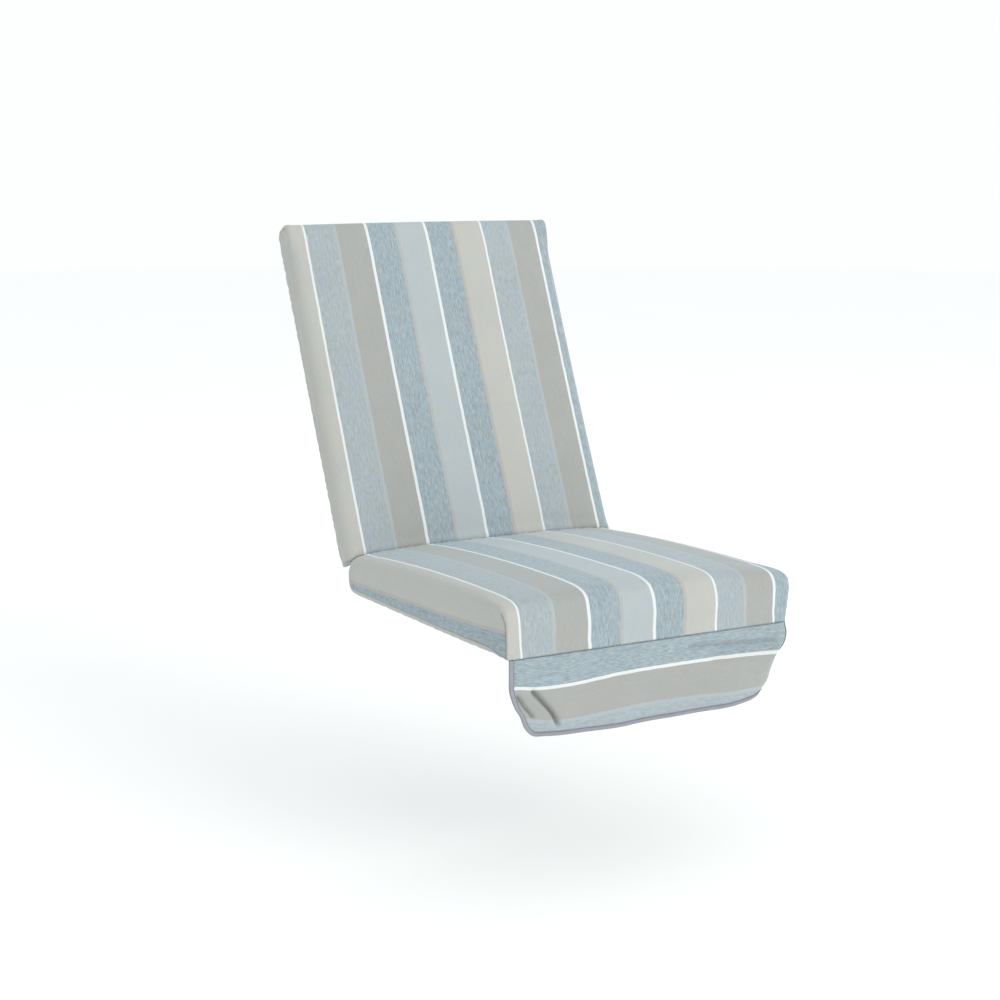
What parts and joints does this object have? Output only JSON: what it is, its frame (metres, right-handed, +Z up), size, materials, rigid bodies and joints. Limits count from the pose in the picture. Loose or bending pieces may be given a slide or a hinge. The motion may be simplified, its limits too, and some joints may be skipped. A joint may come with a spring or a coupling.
{
  "type": "swing seat cushion",
  "caption": "Striped swing seat cushion: a filled seat pad and back pad joined along a stitched fold, with a bound valance hanging from the front edge.",
  "frame": {"origin": "middle of the seat pad's underside", "axes": "+X to the right of someone facing the cushion's front, +Y from the front panel towards the back pad, +Z up"},
  "size_m": [0.568, 0.8295, 0.7992],
  "materials": {
    "striped_cloth": "woven outdoor cloth in blue, taupe, grey and beige stripes",
    "binding_tape": "folded lavender-grey woven tape"
  },
  "bodies": {
    "root": {"seat_pad": "striped_cloth", "back_pad": "striped_cloth", "valance": "striped_cloth", "valance_binding": "binding_tape"}
  },
  "joints": []
}
